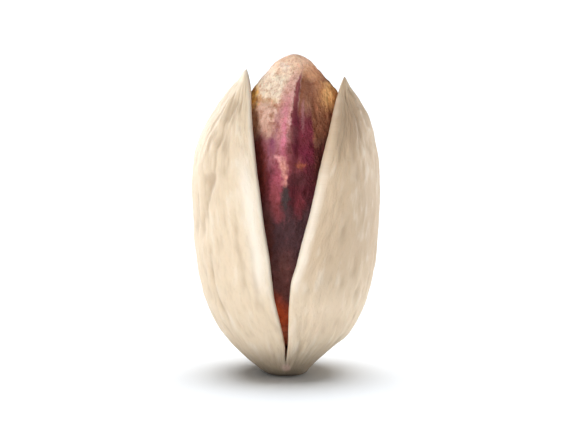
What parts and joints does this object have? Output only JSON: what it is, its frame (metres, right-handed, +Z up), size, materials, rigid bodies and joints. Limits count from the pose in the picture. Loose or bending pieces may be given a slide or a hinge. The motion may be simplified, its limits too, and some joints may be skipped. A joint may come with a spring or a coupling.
{
  "type": "pistachio in shell",
  "caption": "Roasted pistachio standing on its stem end: a split, gaping ivory shell with the purple-skinned kernel showing between its valves and above their tips.",
  "frame": {"origin": "centre of the stem scar, the small flat spot at the bottom that the nut stands on", "axes": "+Z up along the nut towards the tips, -Y towards the wide split, +X towards the valve on the right seen from the wide split"},
  "size_m": [0.0124, 0.0116, 0.0211],
  "materials": {
    "shell_ivory": "dry woody ivory shell with faint lengthwise fibres, satin to matte",
    "kernel_skin": "papery wrinkled seed skin, tan at the top, purple to maroon below, slightly waxy"
  },
  "bodies": {
    "root": {"shell": "shell_ivory", "kernel": "kernel_skin"}
  },
  "joints": []
}
